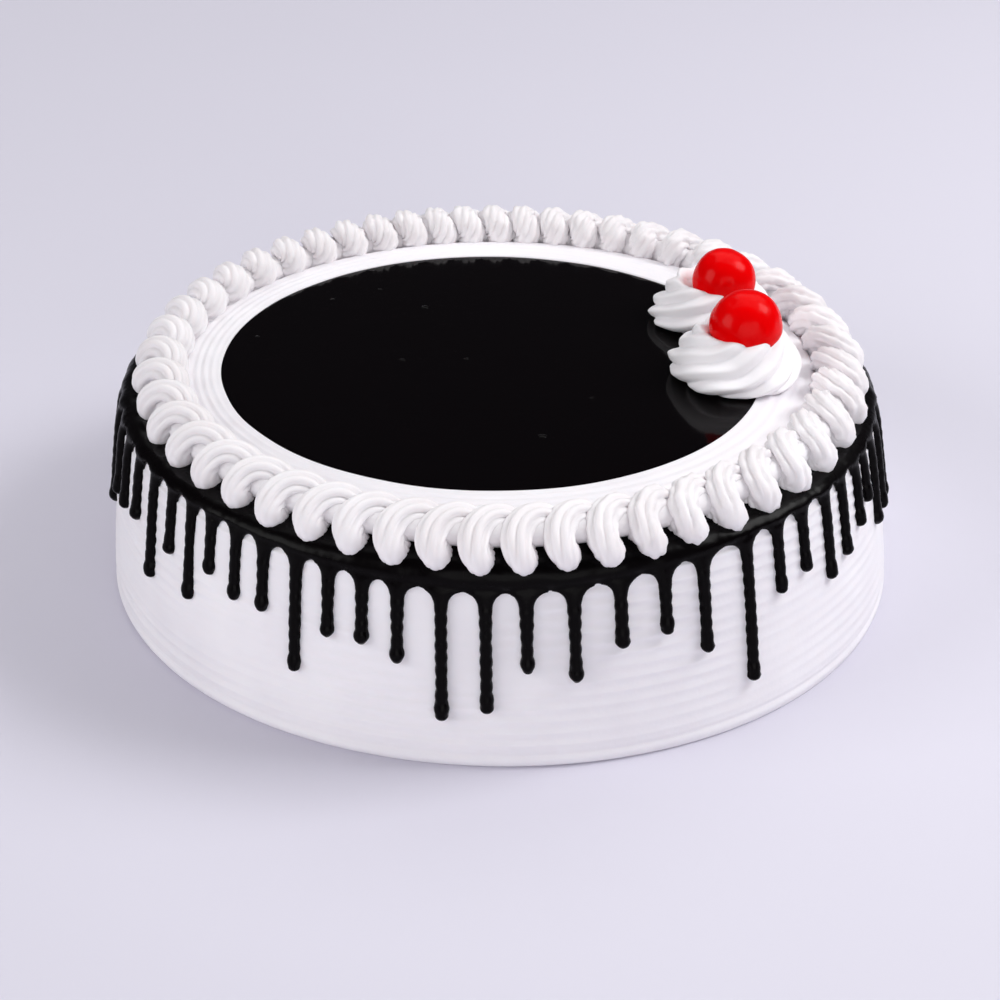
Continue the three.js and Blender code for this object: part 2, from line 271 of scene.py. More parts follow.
def coated_radius(height):
    """Radius of the coated cake at a height, the rounded rim included."""
    over_rim = height - RIM_HEIGHT
    if over_rim <= 0:
        return wall_radius(height)
    return RIM_RADIUS + math.sqrt(max(0, RIM_ROUND ** 2 - over_rim ** 2))


def shelf_height(radius):
    """Height of the sloping shelf under the border at a radius."""
    edge = RIM_HEIGHT + RIM_ROUND
    share = (RIM_RADIUS - radius) / (RIM_RADIUS - SHELF_RADIUS)
    return edge + (SHELF_HEIGHT - edge) * min(share, 1)


def sideways_lean(height):
    """How far the cake stands to the right at a height: the foot a little, the rim just left."""
    return FOOT_SHIFT + (RIM_SHIFT - FOOT_SHIFT) * min(1, height / RIM_HEIGHT)


def band_edge(angle):
    """Height of the band's lower edge at the top of its scallops, which sags towards the front."""
    return (BAND_EDGE - BAND_SAG * front_share(angle)) * MM


def wander(angle, height, size, seed):
    """Smooth unevenness between -1 and 1, which closes on itself round the cake."""
    return noise.noise(placed(WANDER_RADIUS, angle, height) / size + Vector((seed, 0, 0)))


def finished(mesh_data, name, material):
    """Turns a bmesh into a named smooth piece with its material, faces outwards."""
    bmesh.ops.recalc_face_normals(mesh_data, faces=mesh_data.faces)
    mesh = bpy.data.meshes.new(name)
    mesh_data.to_mesh(mesh)
    mesh_data.free()
    mesh.polygons.foreach_set("use_smooth", [True] * len(mesh.polygons))
    mesh.materials.append(material)
    piece = bpy.data.objects.new(name, mesh)
    bpy.context.scene.collection.objects.link(piece)
    return piece


def belongs(piece, slot, *nodes):
    """Fixes a piece to the cake, in place of the solids that it stands for."""
    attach(piece, "root")
    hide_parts(*nodes)


def arc(radius, height, reach, start, sweep, steps):
    """Points of an arc in a profile, round a centre at a radius and a height."""
    turns = [start + sweep * index / steps for index in range(steps + 1)]
    return [(radius + reach * math.cos(turn), height + reach * math.sin(turn)) for turn in turns]


def spun(profile, segments):
    """Spins a profile of (radius, height) points into a closed turned shape."""
    made = bmesh.new()
    verts = [made.verts.new((radius, 0, height)) for radius, height in profile]
    edges = [made.edges.new(pair) for pair in zip(verts, verts[1:])]
    bmesh.ops.spin(
        made, geom=verts + edges, cent=(0, 0, 0), axis=(0, 0, 1), angle=FULL_TURN,
        steps=segments, use_merge=True, use_duplicate=False,
    )
    bmesh.ops.remove_doubles(made, verts=made.verts, dist=0.01 * MM)
    return made


def eased(share):
    """A share held between nothing and one, with a soft start and end."""
    held = min(1, max(0, share))
    return held * held * (3 - 2 * held)


def tube(made, rows, around, place):
    """Adds a tube to a bmesh: a grid bent round on itself, each vertex where place(row, point) says."""
    verts = bmesh.ops.create_grid(made, x_segments=around, y_segments=rows - 1, size=1)["verts"]
    for number, vert in enumerate(verts):
        vert.co = place(number // (around + 1), number % (around + 1) % around)


def close_seams(made):
    """Joins the edges of bent grids, and caps the ends that stay open."""
    bmesh.ops.remove_doubles(made, verts=made.verts, dist=0.004 * MM)
    bmesh.ops.holes_fill(made, edges=[edge for edge in made.edges if edge.is_boundary], sides=0)


def star(teeth, points):
    """Shape of a star nozzle's mouth, as (angle, share of the groove's depth): round, sharp grooves."""
    section = []
    for index in range(points):
        turn = FULL_TURN * index / points
        section.append((turn, 1 - abs(math.cos(teeth * turn / 2)) ** 0.7))
    return section


def curve_through(points, steps):
    """A smooth line through the points, with the same number of steps from each to the next."""
    line = []
    for index in range(len(points) - 1):
        before = Vector(points[max(index - 1, 0)])
        start = Vector(points[index])
        end = Vector(points[index + 1])
        after = Vector(points[min(index + 2, len(points) - 1)])
        for step in range(steps):
            share = step / steps
            line.append(
                start
                + (end - before) * (0.5 * share)
                + (2 * before - 5 * start + 4 * end - after) * (0.5 * share ** 2)
                + (3 * start - before - 3 * end + after) * (0.5 * share ** 3)
            )
    line.append(Vector(points[-1]))
    return line


# Materials

def add_node(tree, kind, values=None, links=None, **fields):
    """Adds a node with its fields and values, and links its inputs to other nodes' outputs."""
    made = tree.nodes.new(kind)
    for field, value in fields.items():
        setattr(made, field, value)
    for socket, value in (values or {}).items():
        made.inputs[socket].default_value = value
    for socket, source in (links or {}).items():
        tree.links.new(source, made.inputs[socket])
    return made


def new_material(name):
    """An empty material, and the object coordinates that its patterns read."""
    material = bpy.data.materials.new(name)
    material.use_nodes = True
    tree = material.node_tree
    tree.nodes.clear()
    place = add_node(tree, "ShaderNodeTexCoord").outputs["Object"]
    return material, tree, place


def finish_material(tree, shader):
    """Links a shader to the material's output."""
    add_node(tree, "ShaderNodeOutputMaterial", links={"Surface": shader.outputs["BSDF"]})


def opaque(colour):
    """A colour with nothing seen through it."""
    return (*colour, 1)


def whipped_cream(settings, name, tone_and_painted_light, bubble_bump):
    """Whipped cream, piped or smoothed: soft light inside it, a satin skin and very fine bubbles. Slow
    patches mix in a second colour: on the wall it is the cream's own tone, on the border it is also
    darker as painted shade, and on the rosettes it is paler as painted light.
    """
    material, tree, place = new_material(name)
    patches = add_node(
        tree, "ShaderNodeTexNoise", {"Scale": 45.0, "Detail": 3.0, "Roughness": 0.5}, {"Vector": place},
    )
    # The second colour of the patches: the cream's tone, with painted shade on the border and painted
    # light on the rosettes
    colour = add_node(tree, "ShaderNodeValToRGB", links={"Fac": patches.outputs["Fac"]})
    colour.color_ramp.elements[0].color = opaque(tone_and_painted_light)
    colour.color_ramp.elements[1].color = opaque(settings.cream)
    bubbles = add_node(
        tree, "ShaderNodeTexNoise", {"Scale": 900.0, "Detail": 4.0, "Roughness": 0.6}, {"Vector": place},
    )
    bump = add_node(
        tree, "ShaderNodeBump", {"Strength": bubble_bump, "Distance": 0.12 * MM},
        {"Height": bubbles.outputs["Fac"]},
    )
    shader = add_node(
        tree, "ShaderNodeBsdfPrincipled",
        {
            "Roughness": 0.48, "IOR": 1.45, "Specular IOR Level": 0.35, "Subsurface Weight": 0.22,
            "Subsurface Radius": (1.0, 0.85, 0.8), "Subsurface Scale": 2.5 * MM,
        },
        {"Base Color": colour.outputs["Color"], "Normal": bump.outputs["Normal"]},
    )
    finish_material(tree, shader)
    return material


def dark_chocolate(settings, name, roughness, ripple, shine):
    """Dark chocolate, poured and set: near black, with a gloss that slow ripples break up."""
    material, tree, place = new_material(name)
    patches = add_node(
        tree, "ShaderNodeTexNoise", {"Scale": 60.0, "Detail": 3.0}, {"Vector": place},
    )
    gloss = add_node(
        tree, "ShaderNodeMapRange", {"To Min": roughness * 0.8, "To Max": roughness * 1.3},
        {"Value": patches.outputs["Fac"]},
    )
    waves = add_node(
        tree, "ShaderNodeTexNoise", {"Scale": 130.0, "Detail": 2.0}, {"Vector": place},
    )
    bump = add_node(
        tree, "ShaderNodeBump", {"Strength": ripple, "Distance": 1.5 * MM},
        {"Height": waves.outputs["Fac"]},
    )
    shader = add_node(
        tree, "ShaderNodeBsdfPrincipled",
        {"Base Color": opaque(settings.chocolate), "IOR": 1.46, "Specular IOR Level": shine},
        {"Roughness": gloss.outputs["Result"], "Normal": bump.outputs["Normal"]},
    )
    finish_material(tree, shader)
    return material


def glace_cherry(settings):
    """Candied cherry in syrup: clear red flesh under a wet skin with fine wrinkles."""
    material, tree, place = new_material("candied_cherry_in_syrup")
    blush = add_node(
        tree, "ShaderNodeTexNoise", {"Scale": 140.0, "Detail": 2.0}, {"Vector": place},
    )
    ramp = add_node(tree, "ShaderNodeValToRGB", links={"Fac": blush.outputs["Fac"]})
    ramp.color_ramp.elements[0].color = opaque([share * 0.85 for share in settings.cherry])
    ramp.color_ramp.elements[1].color = opaque(settings.cherry)
    wrinkles = add_node(
        tree, "ShaderNodeTexNoise", {"Scale": 260.0, "Detail": 3.0}, {"Vector": place},
    )
    bump = add_node(
        tree, "ShaderNodeBump", {"Strength": 0.12, "Distance": 0.3 * MM},
        {"Height": wrinkles.outputs["Fac"]},
    )
    shader = add_node(
        tree, "ShaderNodeBsdfPrincipled",
        {
            "Roughness": 0.19, "IOR": 1.4, "Specular IOR Level": 0.1, "Subsurface Weight": 0.35,
            "Subsurface Radius": (1.0, 0.12, 0.08), "Subsurface Scale": 3 * MM,
        },
        {"Base Color": ramp.outputs["Color"], "Normal": bump.outputs["Normal"]},
    )
    finish_material(tree, shader)
    return material


def pale_floor(settings):
    """Matt painted tabletop: pale and plain, with slow patches that are too faint to catch the eye."""
    material, tree, place = new_material("pale_matt_tabletop")
    patches = add_node(tree, "ShaderNodeTexNoise", {"Scale": 2.5, "Detail": 2.0}, {"Vector": place})
    ramp = add_node(tree, "ShaderNodeValToRGB", links={"Fac": patches.outputs["Fac"]})
    ramp.color_ramp.elements[0].color = opaque([share * 0.95 for share in settings.floor])
    ramp.color_ramp.elements[1].color = opaque(settings.floor)
    shader = add_node(
        tree, "ShaderNodeBsdfPrincipled", {"Roughness": 0.6}, {"Base Color": ramp.outputs["Color"]},
    )
    finish_material(tree, shader)
    return material


# Pieces

def coating_profile():
    """The coated cake from the middle of its underside, up the wall and over to the bed of the glaze."""
    points = [(0, 0), (60 * MM, 0), (FOOT_RADIUS - FOOT_TUCK, 0)]
    for index in range(round((RIM_HEIGHT - FOOT_EDGE) / WALL_STEP)):
        height = FOOT_EDGE + index * WALL_STEP
        foot = max(0, 1 - height / LIP_HEIGHT)
        crease = math.exp(-((height - CREASE_HEIGHT) / CREASE_WIDTH) ** 2)
        skin = SKIN - FOOT_ROUNDING * foot ** FOOT_CURVE - CREASE_DEPTH * crease
        points.append((wall_radius(height) + skin * MM, height))
    points += arc(RIM_RADIUS, RIM_HEIGHT, RIM_ROUND, 0, QUARTER_TURN, 10)
    for index in range(1, 8):
        radius = RIM_RADIUS + (SHELF_RADIUS - RIM_RADIUS) * index / 7
        points.append((radius, shelf_height(radius)))
    for index in range(COLLAR_STEPS + 1):
        share = index / COLLAR_STEPS
        radius = COLLAR_START + (COLLAR_END - COLLAR_START) * share
        rings = COLLAR_RING_DEPTH * math.sin(share * FULL_TURN * COLLAR_RINGS)
        rings *= math.sin(math.pi * share) ** 0.5
        roll = COLLAR_ROLL * (1 - share) ** 4
        points.append((radius, COLLAR_HEIGHT - COLLAR_SINK + rings - roll))
    for index in range(1, 5):
        turn = QUARTER_TURN * index / 4
        points.append((
            COLLAR_END - GLAZE_EDGE * math.sin(turn),
            COLLAR_HEIGHT - COLLAR_SINK - COLLAR_LIP * (1 - math.cos(turn)),
        ))
    points.append((GLAZE_RADIUS, GLAZE_HEIGHT - GLAZE_BED))
    points.append((0, GLAZE_HEIGHT - GLAZE_BED))
    return points


class CAKE_OT_coating(bpy.types.Operator):
    """Makes the cream-coated cake with the comb's rings and the smooth collar"""

    bl_idname = "cake.coating"
    bl_label = "Cream coating"

    def execute(self, context):
        settings = context.scene.cake
        made = spun(coating_profile(), 300)
        # Between these radii the collar gives way, from the shifted chocolate top to the wall
        inner = GLAZE_RADIUS + 0.3 * MM
        outer = 82 * MM
        for vert in made.verts:
            x, y, z = vert.co
            radius = math.hypot(x, y)
            angle = math.atan2(x, -y)
            if z > COLLAR_HEIGHT - 2 * MM and radius < outer:
                share = min(1, max(0, (outer - radius) / (outer - inner)))
                vert.co.x += GLAZE_SHIFT * share
                if radius > GLAZE_RADIUS * 0.9:
                    vert.co.z += COLLAR_WAVE * wander(angle, 0, size=0.02, seed=3.1) * (1 - share)
                    wave = COLLAR_EDGE_WAVE * wander(angle, 0, size=0.025, seed=8.3)
                    edge = 1 + wave * share / radius
                    vert.co.x *= edge
                    vert.co.y *= edge
            elif 0.4 * MM < z < RIM_HEIGHT + RIM_ROUND * 0.6:
                drift = COMB_DRIFT * wander(angle, z, size=0.05, seed=7.7)
                turn = z / settings.comb_pitch + drift
                groove = (0.5 - 0.5 * math.cos(FULL_TURN * turn)) ** COMB_SHARPNESS
                worn = COMB_MEAN + COMB_CHANGE * wander(angle, z * 3, size=0.035, seed=1.3)
                worn = min(1, max(COMB_LEAST, worn))
                dip = settings.comb_depth * worn * groove if z > LIP_HEIGHT else 0
                swell = WALL_SWELL * wander(angle, z, size=0.045, seed=5.5)
                vert.co.x *= 1 + (swell - dip) / radius
                vert.co.y *= 1 + (swell - dip) / radius
            if radius > SHELF_RADIUS:
                vert.co.x += sideways_lean(z) * min(1, (radius - SHELF_RADIUS) / SHIFT_FADE)
        cream = whipped_cream(settings, "whipped_cream_combed", from_hex("#ECE8EE"), 0.35)
        belongs(finished(made, "cream_coating", cream), "coating_cream", "cake_body")
        return {"FINISHED"}


# Specks on the chocolate top: across and back from the middle, and width, in millimetres
GLAZE_SPECKS = (
    (-21, 36, 2.2), (-26, 2, 1.6), (-9, 3, 1.4), (-66, 16, 1.3), (-47, 41, 1.2), (-34, 48, 1.2),
    (11, -42, 2.4), (24, -20, 1.1),
)


class CAKE_OT_glaze(bpy.types.Operator):
    """Makes the poured chocolate top"""

    bl_idname = "cake.glaze"
    bl_label = "Chocolate top"

    def execute(self, context):
        settings = context.scene.cake
        lowest = GLAZE_HEIGHT - GLAZE_THICKNESS
        profile = [(0, lowest), (GLAZE_RADIUS, lowest)]
        profile += arc(GLAZE_RADIUS, GLAZE_HEIGHT - GLAZE_EDGE, GLAZE_EDGE, 0, QUARTER_TURN, 6)
        profile += [(radius * MM, GLAZE_HEIGHT) for radius in range(70, 0, -2)]
        profile.append((0, GLAZE_HEIGHT))
        made = spun(profile, 240)
        for vert in made.verts:
            vert.co.x += GLAZE_SHIFT
        for x, y, width in GLAZE_SPECKS:
            speck = bmesh.ops.create_icosphere(made, subdivisions=3, radius=width / 2 * MM)["verts"]
            for vert in speck:
                vert.co.z *= 0.35
                vert.co += Vector((x * MM, y * MM, GLAZE_HEIGHT - 0.05 * MM))
        chocolate = dark_chocolate(
            settings, "poured_chocolate_glaze", roughness=0.08, ripple=0.02, shine=0.055,
        )
        belongs(finished(made, "chocolate_top", chocolate), "top_chocolate", "chocolate_glaze")
        return {"FINISHED"}


def all_drips():
    """Every drip in order round the cake, as (angle, height of the tip)."""
    drips = [(math.radians(degrees), tip * MM) for degrees, tip in FRONT_DRIPS]
    for count in range(BACK_DRIP_COUNT):
        share = count / (BACK_DRIP_COUNT - 1)
        degrees = BACK_DRIP_FIRST + (BACK_DRIP_LAST - BACK_DRIP_FIRST) * share
        degrees += BACK_DRIP_WANDER * math.sin(count * BACK_DRIP_ORDER)
        tip = FRONT_DRIPS[(count * BACK_DRIP_ORDER + BACK_DRIP_START) % len(FRONT_DRIPS)][1]
        drips.append((math.radians(degrees), tip * MM))
    return drips


def nearest_drips(angle, drips):
    """Angles of the drips within a scallop of an angle, or else one where no bulge reaches it."""
    near = [place for place, _ in drips if math.cos(place - angle) > SCALLOP_COSINE]
    return near or [angle + math.pi / (2 * BULGE_WAVES)]


def gap_between(before, after):
    """Angle from one drip on to the next, round the cake."""
    return (after - before) % FULL_TURN


def add_drip(made, settings, angle, tip, left_gap, right_gap):
    """Adds one drip, from inside the band down to its tip, with half a scallop on either side."""
    edge = band_edge(angle)
    half = settings.drip_width / 2
    low = tip + DRIP_END
    heights = [edge + rise * MM for rise in DRIP_ROOTS]
    heights += [edge - DRIP_ARCH * share ** 2 for share in DRIP_ARCH_SHARES]
    steps = max(2, round((heights[-1] - low) / DRIP_STEP))
    heights += [heights[-1] + (low - heights[-1]) * (index + 1) / steps for index in range(steps)]
    heights += [low - DRIP_END * math.sin(QUARTER_TURN * index / 6) for index in range(1, 6)]
    heights.append(tip + 0.02 * MM)

    def place(row, point):
        height = heights[row]
        under = max(0, edge - height)
        arc_share = 1 - min(1, under / DRIP_ARCH)
        open_share = math.sqrt(max(0, 1 - arc_share ** 3))
        bulb = math.exp(-((height - tip - DRIP_BULB_HEIGHT) / DRIP_BULB_SIZE) ** 2)
        end = math.sqrt(max(0.002, 1 - (max(0, low - height) / DRIP_END) ** 2))
        ripple = 1 + DRIP_RIPPLE * wander(angle, height, size=0.007, seed=9.1)
        taper = 1 + DRIP_TAPER * max(0, 1 - under / DRIP_TAPER_LENGTH)
        stem = half * (taper + DRIP_BULB_SWELL * bulb) * end * ripple
        turn = FULL_TURN * point / DRIP_AROUND
        gap = right_gap if math.cos(turn) > 0 else left_gap
        root = max(0, height - edge) / (DRIP_ROOTS[0] * MM)
        shoulder = (gap + DRIP_OVERLAP) * (1 - open_share) * (1 - 0.5 * root)
        side = shoulder + stem * open_share
        flush = 0.7 + 0.3 * min(1, under / DRIP_ARCH) - 0.5 * root
        relief = settings.drip_relief * (0.88 + 0.25 * bulb) * end * flush
        across = side * math.copysign(abs(math.cos(turn)) ** DRIP_SQUARENESS, math.cos(turn))
        here = angle + across / FOOT_RADIUS
        level = height + (band_edge(here) - edge) * max(0, 1 - under / DRIP_ARCH)
        radius = coated_radius(level) + DRIP_LIFT + relief * math.sin(turn)
        return placed(radius, here, level)

    tube(made, len(heights), DRIP_AROUND, place)


def band_profile():
    """Section of the band: over the rounded rim, in under the border and back along the cream."""
    profile = arc(
        RIM_RADIUS, RIM_HEIGHT, RIM_ROUND + BAND_THICK, math.radians(-35), math.radians(125), 8,
    )
    profile.append((BAND_INNER, shelf_height(BAND_INNER) + BAND_THICK))
    profile.append((BAND_INNER, shelf_height(BAND_INNER) - 1 * MM))
    profile += arc(
        RIM_RADIUS, RIM_HEIGHT, RIM_ROUND - BAND_SUNK, math.radians(90), math.radians(-100), 5,
    )
    profile.append(profile[0])
    return profile


def add_bumps(vert, drips, comb_pitch):
    """Moves a vertex of a drip with the comb's rings under it."""
    x, y, z = vert.co
    angle = math.atan2(x, -y)
    depth = band_edge(angle) - BUMP_START - z
    if depth > 0:
        near = min(nearest_drips(angle, drips), key=lambda place: -math.cos(place - angle))
        off = math.remainder(angle - near, FULL_TURN)
        ring = z + BUMP_STAGGER * math.sin(BUMP_ORDER * near)
        wave = abs(math.cos(math.pi * ring / comb_pitch)) - BUMP_MEAN
        grow = 1 + BUMP_WIDTH * wave * min(1, depth / BUMP_FADE)
        radius = math.hypot(x, y)
        vert.co = placed(radius + BUMP_RELIEF * wave, near + off * grow, z)
    vert.co.x += sideways_lean(z)


class CAKE_OT_drips(bpy.types.Operator):
    """Makes the chocolate band over the rim with all its drips, run together into one skin"""

    bl_idname = "cake.drips"
    bl_label = "Chocolate drips"

    def execute(self, context):
        settings = context.scene.cake
        made = spun(band_profile(), 240)
        lowest = RIM_HEIGHT - BAND_REACH
        highest = RIM_HEIGHT + BAND_REACH
        drips = all_drips()
        for vert in made.verts:
            angle = math.atan2(vert.co.x, -vert.co.y)
            height = vert.co.z
            radius = math.hypot(vert.co.x, vert.co.y)
            if height < highest:
                edge = band_edge(angle) + 0.5 * MM
                share = (height - lowest) / (highest - lowest)
                fresh = edge + (highest - edge) * max(0, share)
                radius += coated_radius(fresh) - coated_radius(height)
                height = fresh
            outside = radius > coated_radius(height) + 0.5 * MM
            if outside and height < shelf_height(RIM_RADIUS) + 2 * MM:
                radius += BAND_LUMPS * wander(angle, height, size=0.0075, seed=6.1)
                bulge = (BULGE - BULGE_LOST_IN_FRONT * front_share(angle)) * MM
                radius += bulge * max(
                    math.cos((angle - near) * BULGE_WAVES) for near in nearest_drips(angle, drips)
                )
            vert.co = placed(radius, angle, height)
        for index, (angle, tip) in enumerate(drips):
            before = gap_between(drips[index - 1][0], angle)
            after = gap_between(angle, drips[(index + 1) % len(drips)][0])
            add_drip(made, settings, angle, tip, before / 2 * FOOT_RADIUS, after / 2 * FOOT_RADIUS)
        close_seams(made)
        chocolate = dark_chocolate(
            settings, "set_chocolate_drip", roughness=0.26, ripple=0.35, shine=0.07,
        )
        skin = finished(made, "chocolate_drips", chocolate)
        fuse = skin.modifiers.new("fuse", "REMESH")
        fuse.mode = "VOXEL"
        fuse.voxel_size = FUSE_VOXEL
        fuse.use_smooth_shade = True
        soften = skin.modifiers.new("soften", "SMOOTH")
        soften.factor = 0.5
        soften.iterations = FUSE_SOFTENING
        thin = skin.modifiers.new("thin", "DECIMATE")
        thin.ratio = FUSE_KEPT
        apply_modifiers(skin)
        for vert in skin.data.vertices:
            add_bumps(vert, drips, settings.comb_pitch)
        belongs(skin, "drip_chocolate", "chocolate_drip_band")
        return {"FINISHED"}


def apply_modifiers(piece):
    """Turns a piece's modifiers into its mesh."""
    view = bpy.context.evaluated_depsgraph_get()
    mesh = bpy.data.meshes.new_from_object(piece.evaluated_get(view))
    piece.modifiers.clear()
    piece.data = mesh
    mesh.polygons.foreach_set("use_smooth", [True] * len(mesh.polygons))


# The border's coils: the toe and crown of each, at the sides and in front, as (radius, height)
ROPE_FRONT_SPREAD = math.radians(40)
ROPE_TOE = Vector((94.2, 57.2)) * MM
ROPE_TOE_AT_FRONT = Vector((99.0, 54.8)) * MM
ROPE_CROWN = Vector((86.6, 61.4)) * MM
ROPE_CROWN_AT_FRONT = Vector((89.2, 60.4)) * MM

# Where the first coil stands, and how the coils close up and spread out round the cake
ROPE_START = -0.42
ROPE_SPREAD_ONCE = 0.035
ROPE_SPREAD_TWICE = 0.103

# Steps along a coil, how far it swings sideways and outwards, and the star of its cord
ROPE_STEPS = 40
ROPE_NUDGE = 0.01
ROPE_UNEVEN = 0.08
ROPE_SWING = 3.9 * MM
ROPE_DEPTH = 2.0 * MM
ROPE_TEETH = 8
ROPE_GROOVE = 0.28

# What the coils at the back have of the swing, depth, groove and climb of those in front
ROPE_BACK_SPREAD = math.radians(85)
ROPE_BACK_SWING = -1.0
ROPE_BACK_DEPTH = 1.5
ROPE_BACK_GROOVE = 0.6
ROPE_BACK_CLIMB = 0.72

# The blunt toe of a coil: its length either way along the cord, its filled grooves and its width
TOE_AFTER = 0.8
TOE_BEFORE = 1.5
TOE_FILL = 0.85
TOE_THIN = 0.09
TOE_BLUNT = 0.13
TOE_NARROW = 0.1

# Where round the border the cream is ragged, as shares of its coils, and how ragged it is
RAGGED_FROM = 0.01
RAGGED_FROM_FADE = 0.1
RAGGED_TO = 0.74
RAGGED_TO_FADE = 0.18
RAGGED = 0.19
RAGGED_SIZE = 1.9 * MM

# The core of cream inside the coils: a plain ring
CORE_RADIUS = 89.4 * MM
CORE_FRONT_SHIFT = 3 * MM
CORE_HEIGHT = 58.6 * MM
CORE_WIDE = 4 * MM
CORE_TALL = 3.4 * MM
CORE_ROWS = 120
CORE_AROUND = 12


def changed(factor, share):
    """One, changing to a factor as a share goes from nothing to one."""
    return 1 + (factor - 1) * share


def rope_place(turns, settings):
    """Centre of the piped cord after a number of coils, and the way that it faces out of its coil.

    Each coil starts at its toe on the outside, climbs in front, arches over to the right and falls
    behind, where the next coil covers it.
    """
    along = FULL_TURN * (turns + ROPE_START) / settings.rope_coils
    angle = along + ROPE_SPREAD_ONCE * math.sin(along) - ROPE_SPREAD_TWICE * math.sin(2 * along)
    share = front_share(angle, ROPE_FRONT_SPREAD)
    back = front_share(angle + math.pi, ROPE_BACK_SPREAD)
    coil = FULL_TURN * (turns % 1)
    size = 1 + ROPE_UNEVEN * wander(angle, 0, size=0.004, seed=4.4)
    toe = ROPE_TOE.lerp(ROPE_TOE_AT_FRONT, share)
    crown = ROPE_CROWN.lerp(ROPE_CROWN_AT_FRONT, share)
    climb = (crown - toe) * size * changed(ROPE_BACK_CLIMB, back)
    slope = climb.normalized()
    normal = Vector((slope.y, -slope.x))
    depth = ROPE_DEPTH * changed(ROPE_BACK_DEPTH, back) * math.sin(coil)
    point = crown - climb * ((1 + math.cos(coil)) / 2) + normal * depth
    facing = normal * math.sin(coil) - slope * math.cos(coil)
    across = -ROPE_SWING * math.sin(coil) * (0.72 + 0.28 * math.sin(coil)) / point.x
    across *= changed(ROPE_BACK_SWING, back)
    return placed(point.x, angle + across, point.y), placed(facing.x, angle + across, facing.y)


class CAKE_OT_rope(bpy.types.Operator):
    """Makes the border, a star-shaped cord of cream piped in coils round the top edge"""

    bl_idname = "cake.rope"
    bl_label = "Piped border"

    def execute(self, context):
        settings = context.scene.cake
        total = settings.rope_coils * ROPE_STEPS
        section = star(ROPE_TEETH, 6 * ROPE_TEETH)
        stations = []
        for step in range(total + 1):
            turns = (step % total) / ROPE_STEPS
            centre, outward = rope_place(turns, settings)
            ahead, _ = rope_place(turns + ROPE_NUDGE, settings)
            behind, _ = rope_place(turns - ROPE_NUDGE, settings)
            tangent = (ahead - behind).normalized()
            outward = (outward - tangent * outward.dot(tangent)).normalized()
            sideways = tangent.cross(outward)
            coil = FULL_TURN * (turns % 1)
            twist = coil - QUARTER_TURN * (1 - (0.5 + 0.5 * math.cos(coil)) ** 2)
            half = settings.rope_cord / 2
            from_toe = math.atan2(math.sin(coil), math.cos(coil))
            toe = math.exp(-(from_toe / (TOE_AFTER if from_toe > 0 else TOE_BEFORE)) ** 2)
            back = front_share(math.atan2(centre.x, -centre.y) + math.pi, ROPE_BACK_SPREAD)
            groove = ROPE_GROOVE * (1 - TOE_FILL * toe) * changed(ROPE_BACK_GROOVE, back)
            across = turns / settings.rope_coils
            broken = eased((across - RAGGED_FROM) / RAGGED_FROM_FADE)
            broken *= eased((RAGGED_TO - across) / RAGGED_TO_FADE)
            half *= 1 - TOE_THIN * toe + TOE_BLUNT * toe * broken
            sideways = sideways * (1 - TOE_NARROW * toe)
            stations.append((centre, outward, sideways, twist, half, groove, broken))

        def place(row, point):
            centre, outward, sideways, twist, half, groove, broken = stations[row]
            turn, share = section[point]
            turn += twist
            way = outward * math.cos(turn) + sideways * math.sin(turn)
            ragged = RAGGED * broken * noise.noise((centre + way * half) / RAGGED_SIZE)
            return centre + way * (half * (1 - groove * share + ragged))

        made = bmesh.new()
        tube(made, total + 1, len(section), place)

        def core(row, point):
            turn = FULL_TURN * point / CORE_AROUND
            angle = FULL_TURN * row / CORE_ROWS
            middle = CORE_RADIUS + CORE_FRONT_SHIFT * front_share(angle)
            radius = middle + CORE_WIDE * math.cos(turn)
            return placed(radius, angle, CORE_HEIGHT + CORE_TALL * math.sin(turn))

        tube(made, CORE_ROWS + 1, CORE_AROUND, core)
        close_seams(made)
        # The border's cream is a little warmer than the wall's, and darker as painted shade for the
        # shade among its coils
        cream = whipped_cream(settings, "whipped_cream_piped", from_hex("#E9E3E5"), 0.3)
        belongs(finished(made, "piped_rope", cream), "piped_cream", "piped_rope_border")
        return {"FINISHED"}


# Half of a rosette from its foot to its middle, as shares of its radius and height
ROSETTE_PROFILE = (
    (0, 0), (0.5, 0), (0.84, 0), (0.97, 0.09), (1, 0.24), (0.97, 0.4), (0.9, 0.55), (0.82, 0.7),
    (0.75, 0.84), (0.68, 0.97), (0.59, 1.06), (0.5, 1.02), (0.4, 0.9), (0.2, 0.85), (0, 0.85),
)
ROSETTE_RIDGES = 8
ROSETTE_TWIST = 2.1
ROSETTE_BEND = 0.22
ROSETTE_TURN_APART = 0.4
ROSETTE_LUMP = 0.09
ROSETTE_LUMP_SIZE = 11 * MM
ROSETTE_LUMP_RISE = 6 * MM
ROSETTE_SWELL = 0.02
ROSETTE_GROOVE = 0.105
ROSETTE_GROOVE_SHARPNESS = 1.2
ROSETTE_FINE_GROOVE = 0.004
ROSETTE_RIDGE_RISE = 0.3 * MM
ROSETTE_SMOOTH_MIDDLE = 0.55


